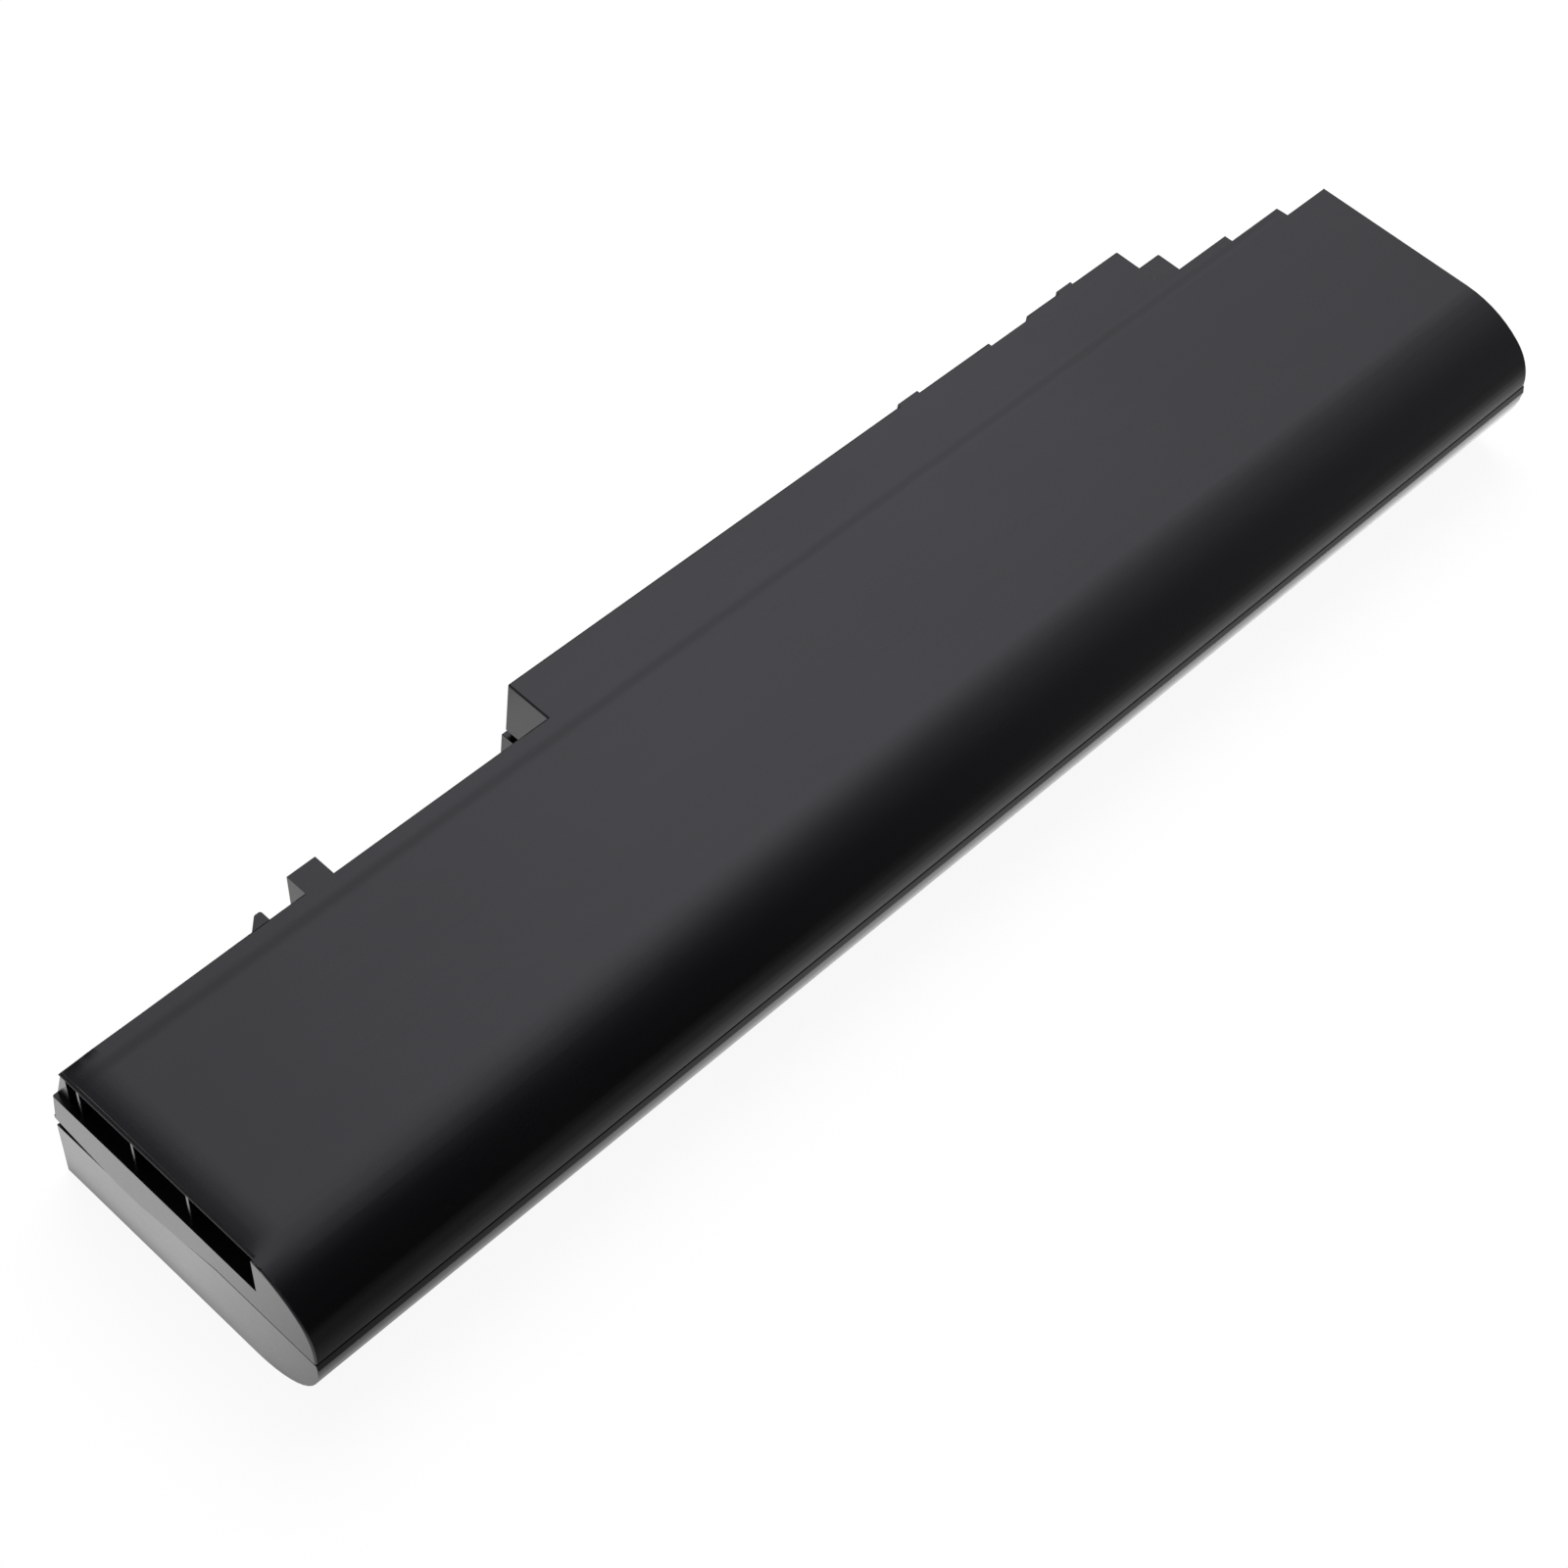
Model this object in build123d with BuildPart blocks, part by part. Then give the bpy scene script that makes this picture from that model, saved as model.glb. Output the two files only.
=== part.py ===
"""Laptop battery: two moulded shells round six cells, their links, a board and its connector.

X runs along the battery, with the ribbed channel at the -X end. +Y is the connector side,
-Y the rounded side, and +Z is up. The origin is the middle of the footprint, on the flat
face that the battery rests on. All sizes are millimetres.
"""

import math
import os

from build123d import *

# Cells
CAN_DIAMETER = 18.1
SLEEVE_GAP = 0.05
SLEEVE_WALL = 0.1
CELL_LENGTH = 65.0
BUTTON_DIAMETER = 6.5
BUTTON_HEIGHT = 1.0
CAN_EDGE = 0.6
CRIMP_OFFSET = 3.2
CRIMP_WIDTH = 1.4
CRIMP_FLOOR = 0.4
CRIMP_DEPTH = 0.5
CELLS_PER_ROW = 3
CELL_GAP = 0.25
ROW_GAP = 0.05
RING_BORE = 8.5
RING_MARGIN = 1.0
RING_THICKNESS = 0.3

# Links, leads and end pads
LINK_THICKNESS = 0.2
LINK_HEIGHT = 8.0
LINK_WIDTH = 27.0
LEG_WIDTH = 4.0
LEAD_DIAMETER = 1.6
LEAD_GAP = 0.1
LEAD_TURN = 1.5
FUSE_DIAMETER = 2.2
FUSE_LENGTH = 9.0
FUSE_OFFSET = 30.0
PAD_WIDTH = 28.0
PAD_HEIGHT = 10.0

# Shells
WALL = 0.8
LEFT_ROOM = 6.2
RIGHT_ROOM = 2.8
NEAR_ROOM = 0.5
BACK_ROOM = 1.2
NOSE_STEP = 0.25
PARTING = 11.4
ROLL_WIDTH = 11.9
ROLL_HEIGHT = 8.9
ROLL_NOSE = 7.3
BELLY_RADIUS = 10.4
NOSE_EDGE = 0.2
BACK_DRAFT = 1.0
FOOT_DRAFT = 0.2
END_DRAFT = 0.8
BOTTOM_EDGE = 0.8
RIM_EDGE = 0.25
SEAM_HEIGHT = 0.15
SEAM_DEPTH = 0.5
SEAM_WEDGE_HEIGHT = 1.5
SEAM_WEDGE_LENGTH = 10.0

# Apron of the upper shell at the left end, where the seam runs lower along its back half
APRON_DROP = 2.0
APRON_LENGTH = 13.5
APRON_RAMP = 12.0

# Flat of the upper shell and the lower band along its back edge
BAND_WIDTH = 2.2
BAND_DROP = 0.15
CREASE_RUN = 1.0

# Ribbed channel along the left end
LIP_HEIGHT = 15.0
LIP_WIDTH = 0.75
CHANNEL_START = 8.8
CHANNEL_DEPTH = 2.0
EDGE_SET = 0.35
EDGE_ROLL = 0.6
EDGE_THICKNESS = 0.9
FADE_RUN = 2.6
FADE_DROP = 0.13
EDGE_TURN = 60.0
CORNER_WALL = 0.35
RIB_COUNT = 3
RIB_START = 10.7
RIB_PITCH = 8.5
RIB_WIDTH = 0.35
RIB_LEAN = 8.0

# Connector ledge, with the low block at its right end
LEDGE_REACH = 5.65
LEDGE_STEP = 0.25
LEDGE_LEAD = 1.7
LEDGE_LENGTH = 106.6
LEDGE_SEAM = 1.0
LEDGE_EDGE = 0.25
BLOCK_LENGTH = 10.2
BLOCK_TOP = 13.6
KEY_OFFSETS = (65.5, 95.1)
KEY_WIDTHS = (3.5, 2.7)
KEY_REACH = 0.3
CATCH_OFFSET = 81.75
CATCH_WIDTH = 7.35
CATCH_DEPTH = 0.6
CATCH_HEIGHT = 3.2

# Hook tab and locating lug on the back edge
TAB_OFFSET = 33.65
TAB_WIDTH = 4.05
TAB_REACH = 2.85
TAB_HEIGHT = 4.4
TAB_TAPER = 0.6
LUG_OFFSET = 26.3
LUG_WIDTH = 2.5
LUG_TIP = 0.9
LUG_REACH = 1.5
LUG_HEIGHT = 5.0
LUG_DROP = 0.3
LUG_ROUND = 0.3

# Sloped shoulders on the back edge near the right end
SHOULDER_SLOPE = 61.6
SHOULDER_ROOM = 0.12
SHOULDER_STARTS = (26.3, 17.0, 7.8)
SHOULDER_STEPS = (2.9, 1.7, 0.0)

# Board and what it carries
PAPER_THICKNESS = 0.3
PAPER_GAP = 0.05
PAPER_MARGIN = 0.4
PAPER_SLOT = 2.4
BOARD_THICKNESS = 1.0
BOARD_HEIGHT = 16.0
BOARD_END_GAP = 0.2
GUIDE_WIDTH = 1.2
GUIDE_HEIGHT = 4.0
GUIDE_REACH = 2.0
GUIDE_GAP = 0.1
CHIP_SIZE = (9.0, 1.0, 7.0)
CHIP_OFFSET = 14.0
CHIP_LEADS = 8
CHIP_LEAD_PITCH = 1.0
CHIP_LEAD_SIZE = (0.4, 0.3, 1.0)
SWITCH_SIZE = (5.0, 1.1, 6.0)
SWITCH_OFFSETS = (32.3, 25.3)
SHUNT_SIZE = (6.4, 0.7, 3.2)
SHUNT_OFFSET = 15.3
CUTOUT_SIZE = (4.5, 1.0, 3.2)
CUTOUT_OFFSET = 25.0
CAPACITOR_SIZE = (1.6, 0.9, 0.9)
CAPACITOR_OFFSET = 31.0
CAPACITOR_PITCH = 2.4
CAPACITOR_COLUMNS = 2
CAPACITOR_ROWS = 3
SENSOR_DIAMETER = 2.0
SENSOR_OFFSET = 45.0
SENSOR_GAP = 0.1
PART_LEVEL = 7.0

# Connector
PIN_COUNT = 9
PIN_PITCH = 3.4
CONNECTOR_OFFSET = 48.0
CONNECTOR_END = 1.7
CONNECTOR_HEIGHT = 7.4
CONNECTOR_GAP = 0.1
CONNECTOR_RECESS = 0.15
CONNECTOR_EDGE = 0.25
SLOT_WIDTH = 1.3
SLOT_HEIGHT = 5.2
SLOT_BACK = 1.2
LEAF_THICKNESS = 0.25
LEAF_HEIGHT = 4.4
LEAF_SETBACK = 0.8
TAIL_SIZE = 0.6

# Places worked out from the sizes above
cell_radius = CAN_DIAMETER / 2 + SLEEVE_GAP + SLEEVE_WALL
height = 2 * (WALL + CELL_GAP + cell_radius)
axis_level = height / 2
stack = CELLS_PER_ROW * CELL_LENGTH + (CELLS_PER_ROW - 1) * LINK_THICKNESS
length = stack + LEFT_ROOM + RIGHT_ROOM + 2 * WALL
rows_depth = CELL_GAP + 4 * cell_radius + ROW_GAP
body_depth = NOSE_STEP + 2 * WALL + NEAR_ROOM + rows_depth + BACK_ROOM
depth = body_depth + LEDGE_REACH

left = -length / 2
right = length / 2
front = -depth / 2
upper_front = front + NOSE_STEP
back = front + body_depth
back_top = back - BACK_DRAFT
ledge_face = depth / 2 - LEDGE_STEP
band_level = height - BAND_DROP

roll_axis = upper_front + ROLL_WIDTH
roll_level = height - ROLL_HEIGHT
roll_crown = (ROLL_WIDTH**2 + ROLL_HEIGHT**2 - 2 * ROLL_WIDTH * ROLL_NOSE) / (2 * (ROLL_HEIGHT - ROLL_NOSE))
roll_turn = math.degrees(math.atan2(roll_crown - ROLL_HEIGHT, ROLL_WIDTH - ROLL_NOSE))
belly_axis = upper_front + axis_level
front_axis = upper_front + WALL + NEAR_ROOM + CELL_GAP + cell_radius
back_axis = front_axis + 2 * cell_radius + ROW_GAP
row_axes = {"front": front_axis, "back": back_axis}
stack_left = left + WALL + LEFT_ROOM
stack_right = stack_left + stack
cell_step = CELL_LENGTH + LINK_THICKNESS
cell_starts = [stack_left + cell_step * i for i in range(CELLS_PER_ROW)]

first_joint = stack_left + CELL_LENGTH
ledge_left = first_joint - LEDGE_LEAD - WALL
ledge_right = ledge_left + LEDGE_LENGTH
block_right = ledge_right + BLOCK_LENGTH

channel_front = upper_front + CHANNEL_START
channel_wall = left + LIP_WIDTH
edge_roll_axis = left + EDGE_SET + EDGE_ROLL * math.sin(math.radians(EDGE_TURN))
channel_inner = channel_wall + CHANNEL_DEPTH + WALL
channel_roof = height - EDGE_THICKNESS
channel_end = channel_front + (height - LIP_HEIGHT) * math.tan(math.radians(RIB_LEAN))
roof_lean = (channel_roof - LIP_HEIGHT) * math.tan(math.radians(RIB_LEAN))
rib_places = [channel_front + RIB_START + RIB_PITCH * i for i in range(RIB_COUNT)]
apron_level = PARTING - APRON_DROP
apron_front = back - APRON_LENGTH

paper_front = back_axis + cell_radius + PAPER_GAP
board_back = paper_front + PAPER_THICKNESS + PAPER_GAP
board_front = board_back + BOARD_THICKNESS
board_left = ledge_left + WALL + BOARD_END_GAP
board_right = ledge_right - WALL - BOARD_END_GAP
board_top = WALL + BOARD_HEIGHT

slope = math.radians(SHOULDER_SLOPE)
shoulder_radius = cell_radius + CELL_GAP + SHOULDER_ROOM + WALL
shoulder_foot = back_axis + (shoulder_radius - axis_level * math.cos(slope)) / math.sin(slope)

connector_length = (PIN_COUNT - 1) * PIN_PITCH + 2 * CONNECTOR_END
connector_middle = ledge_left + CONNECTOR_OFFSET
connector_left = connector_middle - connector_length / 2
connector_face = ledge_face - CONNECTOR_RECESS
slot_level = PARTING + CONNECTOR_HEIGHT / 2
pin_places = [connector_middle + PIN_PITCH * (i - (PIN_COUNT - 1) / 2) for i in range(PIN_COUNT)]

os.makedirs("parts", exist_ok=True)


def block(x_range, y_range, z_range, mode=Mode.ADD):
    """A box between two limits along each axis, in the part that is being built."""
    limits = (x_range, y_range, z_range)
    middle = [(low + high) / 2 for low, high in limits]
    size = [high - low for low, high in limits]
    with Locations(tuple(middle)):
        Box(*size, mode=mode)


def upper_outline(inset):
    """Section of the upper shell: rolled front edge, flat, crease, low band, and a back that leans
    in above the level of the lip."""
    near = upper_front + inset
    top = height - inset
    crease = back_top - BAND_WIDTH
    with BuildLine() as outline:
        Line((near, PARTING), (near, roll_level))
        CenterArc((upper_front + ROLL_NOSE, roll_level), ROLL_NOSE - inset, 180, -roll_turn)
        CenterArc((roll_axis, height - roll_crown), roll_crown - inset, 90, 90 - roll_turn)
        Polyline(
            (roll_axis, top),
            (crease - CREASE_RUN - inset, top),
            (crease - inset, top - BAND_DROP),
            (back_top - inset - RIM_EDGE, top - BAND_DROP),
            (back_top - inset, top - BAND_DROP - RIM_EDGE),
            (back - inset, LIP_HEIGHT),
            (back - inset, PARTING),
            (near, PARTING),
        )
    make_face(outline.edges())


def shoulder_cuts(inset):
    """Cut the sloped shoulders from the back edge, each further in than the one before."""
    for start, step in zip(SHOULDER_STARTS, SHOULDER_STEPS):
        edge = shoulder_foot + step - inset / math.sin(slope)
        rise = height * math.tan(slope)
        with BuildSketch(Plane.YZ.offset(right - start - inset)) as wedge:
            with BuildLine():
                Polyline(
                    (edge, height),
                    (edge + height, height - rise),
                    (edge + height, height + WALL),
                    (edge - WALL / math.tan(slope), height + WALL),
                    close=True,
                )
            make_face()
        extrude(wedge.sketch, amount=start + inset + WALL, mode=Mode.SUBTRACT)


# Hollow that both shells share: the cell bay, the board bay and the room under the low block
with BuildPart() as bay:
    with BuildSketch(Plane.YZ.offset(left + WALL)):
        upper_outline(WALL)
    extrude(amount=length - 2 * WALL)
    shoulder_cuts(WALL)
    block(
        (left, channel_inner),
        (channel_front - WALL, depth),
        (LIP_HEIGHT - WALL, height),
        mode=Mode.SUBTRACT,
    )
    with BuildSketch(Plane.YZ.offset(left + WALL + END_DRAFT)):
        with BuildLine():
            Line((belly_axis, WALL), (back - FOOT_DRAFT - WALL, WALL))
            Polyline(
                (back - FOOT_DRAFT - WALL, WALL),
                (back - WALL, PARTING),
                (upper_front + WALL, PARTING),
                (upper_front + WALL, axis_level),
            )
            CenterArc((belly_axis, axis_level), axis_level - WALL, 180, 90)
        make_face()
    extrude(amount=length - 2 * (WALL + END_DRAFT))
    block(
        (ledge_left + WALL, ledge_right - WALL),
        (back_axis, ledge_face - WALL),
        (WALL, band_level - WALL),
    )
    block(
        (ledge_right - WALL, block_right - WALL),
        (back_axis, ledge_face - WALL),
        (WALL, BLOCK_TOP - WALL),
    )

# Outside of the ledge and of its low block, rounded where they stand clear of the body
ledge_forms = []
for end, top in ((ledge_right, band_level), (block_right, BLOCK_TOP)):
    with BuildPart() as ledge_form:
        block((ledge_left, end), (back_axis, ledge_face), (PARTING, top))
        crown = ledge_form.faces().sort_by(Axis.Z)[-1].edges().sort_by(Axis.Y)[1:]
        corners = ledge_form.edges().filter_by(Axis.Z).group_by(Axis.Y)[-1]
        fillet(crown + corners, radius=LEDGE_EDGE)
    ledge_forms.append(ledge_form.part)

# Upper shell
with BuildPart() as upper_shell:
    with BuildSketch(Plane.YZ.offset(left)):
        upper_outline(0)
    extrude(amount=length)
    end_edges = upper_shell.edges().group_by(Axis.X)
    rim = [e for e in end_edges[0] + end_edges[-1] if e.center().Z > PARTING + RIM_EDGE]
    fillet(rim, radius=RIM_EDGE)
    shoulder_cuts(0)
    add(ledge_forms)

    # Keys and the latch catch on the face of the ledge
    for offset_x, width in zip(KEY_OFFSETS, KEY_WIDTHS):
        key = ledge_left + offset_x
        block(
            (key, key + width),
            (ledge_face - WALL, ledge_face + KEY_REACH),
            (PARTING + LEDGE_SEAM, band_level),
        )
    catch = ledge_left + CATCH_OFFSET
    block(
        (catch, catch + CATCH_WIDTH),
        (ledge_face - CATCH_DEPTH, ledge_face + CATCH_DEPTH),
        (band_level - CATCH_HEIGHT, height),
        mode=Mode.SUBTRACT,
    )

    # Hook tab and three-sided lug on the back edge
    with BuildSketch(Plane.YZ.offset(left + TAB_OFFSET)):
        with BuildLine():
            Polyline(
                (back_top - WALL, band_level),
                (back_top + TAB_REACH, band_level),
                (back_top + TAB_REACH - TAB_TAPER, band_level - TAB_HEIGHT),
                (back_top - WALL, band_level - TAB_HEIGHT),
                close=True,
            )
        make_face()
    extrude(amount=TAB_WIDTH)
    lug_left = left + LUG_OFFSET
    lug_right = lug_left + LUG_WIDTH
    with BuildSketch(Plane.XY.offset(band_level - LUG_DROP - LUG_HEIGHT)) as lug:
        with BuildLine():
            Polyline(
                (lug_left, back_top - WALL),
                (lug_left, back_top),
                (lug_right - LUG_TIP, back_top + LUG_REACH),
                (lug_right, back_top + LUG_REACH),
                (lug_right, back_top - WALL),
                close=True,
            )
        make_face()
        fillet(lug.vertices().group_by(Axis.Y)[-1], radius=LUG_ROUND)
    extrude(amount=LUG_HEIGHT)

    # Hollow, then the channel with its lip, the drooped edge of the flat over it, its leaning
    # near end, and the pockets between its ribs, which lean alike
    add(bay.part, mode=Mode.SUBTRACT)
    with BuildSketch(Plane.XZ.offset(-channel_end)):
        with BuildLine():
            TangentArc(
                (edge_roll_axis + FADE_RUN, height),
                (edge_roll_axis, height - FADE_DROP),
                tangent=(-1, 0),
            )
            edge = CenterArc(
                (edge_roll_axis, height - FADE_DROP - EDGE_ROLL), EDGE_ROLL, 90, EDGE_TURN
            )
            Polyline(
                edge @ 1,
                (channel_wall, channel_roof),
                (channel_wall, LIP_HEIGHT),
                (left - WALL, LIP_HEIGHT),
                (left - WALL, height + WALL),
                (edge_roll_axis + FADE_RUN, height + WALL),
                (edge_roll_axis + FADE_RUN, height),
            )
        make_face()
    extrude(amount=-depth, mode=Mode.SUBTRACT)
    with BuildSketch(Plane.YZ.offset(left)):
        with BuildLine():
            Polyline(
                (channel_front, LIP_HEIGHT),
                (channel_end, LIP_HEIGHT),
                (channel_end, height),
                close=True,
            )
        make_face()
    extrude(amount=LIP_WIDTH, mode=Mode.SUBTRACT)
    far_foot = back_top - CORNER_WALL - roof_lean
    pocket_edges = [channel_front - RIB_WIDTH / 2] + rib_places + [far_foot + RIB_WIDTH / 2]
    for low, high in zip(pocket_edges, pocket_edges[1:]):
        pocket_front = low + RIB_WIDTH / 2
        pocket_back = high - RIB_WIDTH / 2
        with BuildSketch(Plane.YZ.offset(left)):
            with BuildLine():
                Polyline(
                    (pocket_front, LIP_HEIGHT),
                    (pocket_back, LIP_HEIGHT),
                    (pocket_back + roof_lean, channel_roof),
                    (pocket_front + roof_lean, channel_roof),
                    close=True,
                )
            make_face()
        extrude(amount=LIP_WIDTH + CHANNEL_DEPTH, mode=Mode.SUBTRACT)

    # Apron below the parting level on the back half of the left end
    with BuildSketch(Plane.YZ.offset(left)):
        with BuildLine():
            Polyline(
                (back, PARTING),
                (back, apron_level),
                (apron_front, apron_level),
                (apron_front - APRON_RAMP, PARTING),
                close=True,
            )
        make_face()
    extrude(amount=WALL)

    # Seam groove round the foot, taller under the ledge. At the left end it follows the apron
    # and opens to a wedge at the back corner
    with BuildSketch(Plane.XY.offset(PARTING)) as seam:
        with Locations((0, (upper_front + back) / 2)):
            Rectangle(length, back - upper_front)
        with Locations(((ledge_left + block_right) / 2, (back_axis + ledge_face) / 2)):
            Rectangle(block_right - ledge_left, ledge_face - back_axis)
        offset(amount=-SEAM_DEPTH, mode=Mode.SUBTRACT)
        with Locations((left + WALL / 2, (upper_front + SEAM_DEPTH + back) / 2)):
            Rectangle(WALL, back - upper_front - SEAM_DEPTH, mode=Mode.SUBTRACT)
    extrude(amount=SEAM_HEIGHT, mode=Mode.SUBTRACT)
    with BuildSketch(Plane.XY.offset(PARTING)):
        with Locations(((ledge_left + block_right) / 2, ledge_face)):
            Rectangle(block_right - ledge_left, 2 * (ledge_face - back))
        with Locations(((ledge_left + block_right) / 2, back)):
            Rectangle(
                block_right - ledge_left - 2 * SEAM_DEPTH,
                2 * (ledge_face - back - SEAM_DEPTH),
                mode=Mode.SUBTRACT,
            )
    extrude(amount=LEDGE_SEAM, mode=Mode.SUBTRACT)
    with BuildSketch(Plane.YZ.offset(left)):
        with BuildLine():
            Polyline(
                (back, apron_level),
                (apron_front, apron_level),
                (apron_front - APRON_RAMP, PARTING),
                (upper_front, PARTING),
                (upper_front, PARTING + SEAM_HEIGHT),
                (apron_front - APRON_RAMP, PARTING + SEAM_HEIGHT),
                (apron_front, apron_level + SEAM_HEIGHT),
                (back - SEAM_WEDGE_LENGTH, apron_level + SEAM_HEIGHT),
                (back, apron_level + SEAM_WEDGE_HEIGHT),
                close=True,
            )
        make_face()
    extrude(amount=SEAM_DEPTH, mode=Mode.SUBTRACT)

    # Window for the connector, open at the seam so that the shell drops over it
    block(
        (connector_left - CONNECTOR_GAP, connector_left + connector_length + CONNECTOR_GAP),
        (ledge_face - 2 * WALL, ledge_face + WALL),
        (PARTING, PARTING + CONNECTOR_HEIGHT + CONNECTOR_GAP),
        mode=Mode.SUBTRACT,
    )
upper_shell.part.label = "upper_shell"
export_step(upper_shell.part, "parts/upper_shell.step")

# Lower shell
with BuildPart() as lower_shell:
    with BuildSketch(Plane.YZ.offset(left)):
        with BuildLine():
            CenterArc((front + BELLY_RADIUS, BELLY_RADIUS), BELLY_RADIUS, 180, 90)
            Polyline(
                (front + BELLY_RADIUS, 0),
                (back - FOOT_DRAFT, 0),
                (back, PARTING),
                (front + NOSE_EDGE, PARTING),
            )
            Line((front + NOSE_EDGE, PARTING), (front, PARTING - NOSE_EDGE))
            Line((front, PARTING - NOSE_EDGE), (front, BELLY_RADIUS))
        make_face()
    extrude(amount=length)
    for end, way in ((left, 1), (right, -1)):
        with BuildSketch(Plane.XZ.offset(-front)):
            with BuildLine():
                Polyline((end, PARTING), (end, 0), (end + way * END_DRAFT, 0), close=True)
            make_face()
        extrude(amount=-depth, mode=Mode.SUBTRACT)
    block((ledge_left - LEDGE_STEP, block_right + LEDGE_STEP), (back_axis, depth / 2), (0, PARTING))
    foot_edges = lower_shell.edges().filter_by(Axis.X).group_by(Axis.Z)[0]
    fillet(foot_edges.sort_by(Axis.Y)[-1], radius=BOTTOM_EDGE)
    add(bay.part, mode=Mode.SUBTRACT)
    with BuildSketch(Plane.YZ.offset(left - WALL)):
        with BuildLine():
            Polyline(
                (back + WALL, PARTING),
                (back + WALL, apron_level),
                (apron_front, apron_level),
                (apron_front - APRON_RAMP, PARTING),
                close=True,
            )
        make_face()
    extrude(amount=2 * WALL, mode=Mode.SUBTRACT)
    for guide in (board_left + GUIDE_WIDTH, board_right - 2 * GUIDE_WIDTH):
        block(
            (guide, guide + GUIDE_WIDTH),
            (board_front + GUIDE_GAP, board_front + GUIDE_GAP + GUIDE_REACH),
            (WALL / 2, WALL + GUIDE_HEIGHT),
        )
lower_shell.part.label = "lower_shell"
export_step(lower_shell.part, "parts/lower_shell.step")

# Cells: steel cans with a crimp groove and a positive button at the right end
can_radius = CAN_DIAMETER / 2
shoulder = CELL_LENGTH - BUTTON_HEIGHT
for row, axis in row_axes.items():
    for place, start in zip(("left", "middle", "right"), cell_starts):
        crimp = start + shoulder - CRIMP_OFFSET - CRIMP_WIDTH / 2
        with BuildPart() as cell:
            with BuildSketch(Plane.XZ.offset(-axis)):
                with BuildLine():
                    Polyline(
                        (start, axis_level),
                        (start, axis_level + can_radius - CAN_EDGE),
                        (start + CAN_EDGE, axis_level + can_radius),
                        (crimp - CRIMP_WIDTH / 2, axis_level + can_radius),
                        (crimp - CRIMP_FLOOR / 2, axis_level + can_radius - CRIMP_DEPTH),
                        (crimp + CRIMP_FLOOR / 2, axis_level + can_radius - CRIMP_DEPTH),
                        (crimp + CRIMP_WIDTH / 2, axis_level + can_radius),
                        (start + shoulder - CAN_EDGE, axis_level + can_radius),
                        (start + shoulder, axis_level + can_radius - CAN_EDGE),
                        (start + shoulder, axis_level + BUTTON_DIAMETER / 2),
                        (start + CELL_LENGTH, axis_level + BUTTON_DIAMETER / 2),
                        (start + CELL_LENGTH, axis_level),
                        (start, axis_level),
                    )
                make_face()
            revolve(axis=Axis((start, axis, axis_level), (1, 0, 0)))
        name = f"cell_{row}_{place}"
        cell.part.label = name
        export_step(cell.part, f"parts/{name}.step")

# Shrink sleeves round the cans
with BuildPart() as cell_sleeves:
    for start in cell_starts:
        with BuildSketch(Plane.YZ.offset(start + CAN_EDGE)):
            with Locations(*[(axis, axis_level) for axis in row_axes.values()]):
                Circle(cell_radius)
                Circle(can_radius + SLEEVE_GAP, mode=Mode.SUBTRACT)
        extrude(amount=shoulder - 2 * CAN_EDGE)
cell_sleeves.part.label = "cell_sleeves"
export_step(cell_sleeves.part, "parts/cell_sleeves.step")

# Fibre rings round the positive buttons
with BuildPart() as fibre_rings:
    for start in cell_starts:
        with BuildSketch(Plane.YZ.offset(start + shoulder)):
            with Locations(*[(axis, axis_level) for axis in row_axes.values()]):
                Circle(can_radius - RING_MARGIN)
                Circle(RING_BORE / 2, mode=Mode.SUBTRACT)
        extrude(amount=RING_THICKNESS)
fibre_rings.part.label = "fibre_rings"
export_step(fibre_rings.part, "parts/fibre_rings.step")

# Nickel links: one at each end of the stack, with a leg down to its lead, and one at each
# joint between cells, with a leg out to the board
row_middle = (front_axis + back_axis) / 2
lead_axis = board_back - LEAD_TURN
lead_level = WALL + LEAD_GAP + FUSE_DIAMETER / 2
leg_run = math.hypot(lead_axis - back_axis, axis_level - lead_level)
leg_angle = math.degrees(math.atan2(lead_level - axis_level, lead_axis - back_axis))
link_names = ("left", "inner_left", "inner_right", "right")
link_starts = [start - LINK_THICKNESS for start in cell_starts] + [stack_right]
for place, start in zip(link_names, link_starts):
    with BuildPart() as link:
        with BuildSketch(Plane.YZ.offset(start)):
            with Locations((row_middle, axis_level)):
                RectangleRounded(LINK_WIDTH, LINK_HEIGHT, LINK_HEIGHT / 4)
            if place in ("left", "right"):
                leg_middle = ((back_axis + lead_axis) / 2, (axis_level + lead_level) / 2)
                with Locations(Location((*leg_middle, 0), leg_angle)):
                    Rectangle(leg_run, LEAD_DIAMETER)
                with Locations((lead_axis, lead_level)):
                    Circle(LEAD_DIAMETER / 2)
            else:
                with Locations(((back_axis + board_back) / 2, axis_level)):
                    Rectangle(board_back - back_axis, LEG_WIDTH)
        extrude(amount=LINK_THICKNESS)
    link.part.label = f"link_{place}"
    export_step(link.part, f"parts/link_{place}.step")

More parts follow.
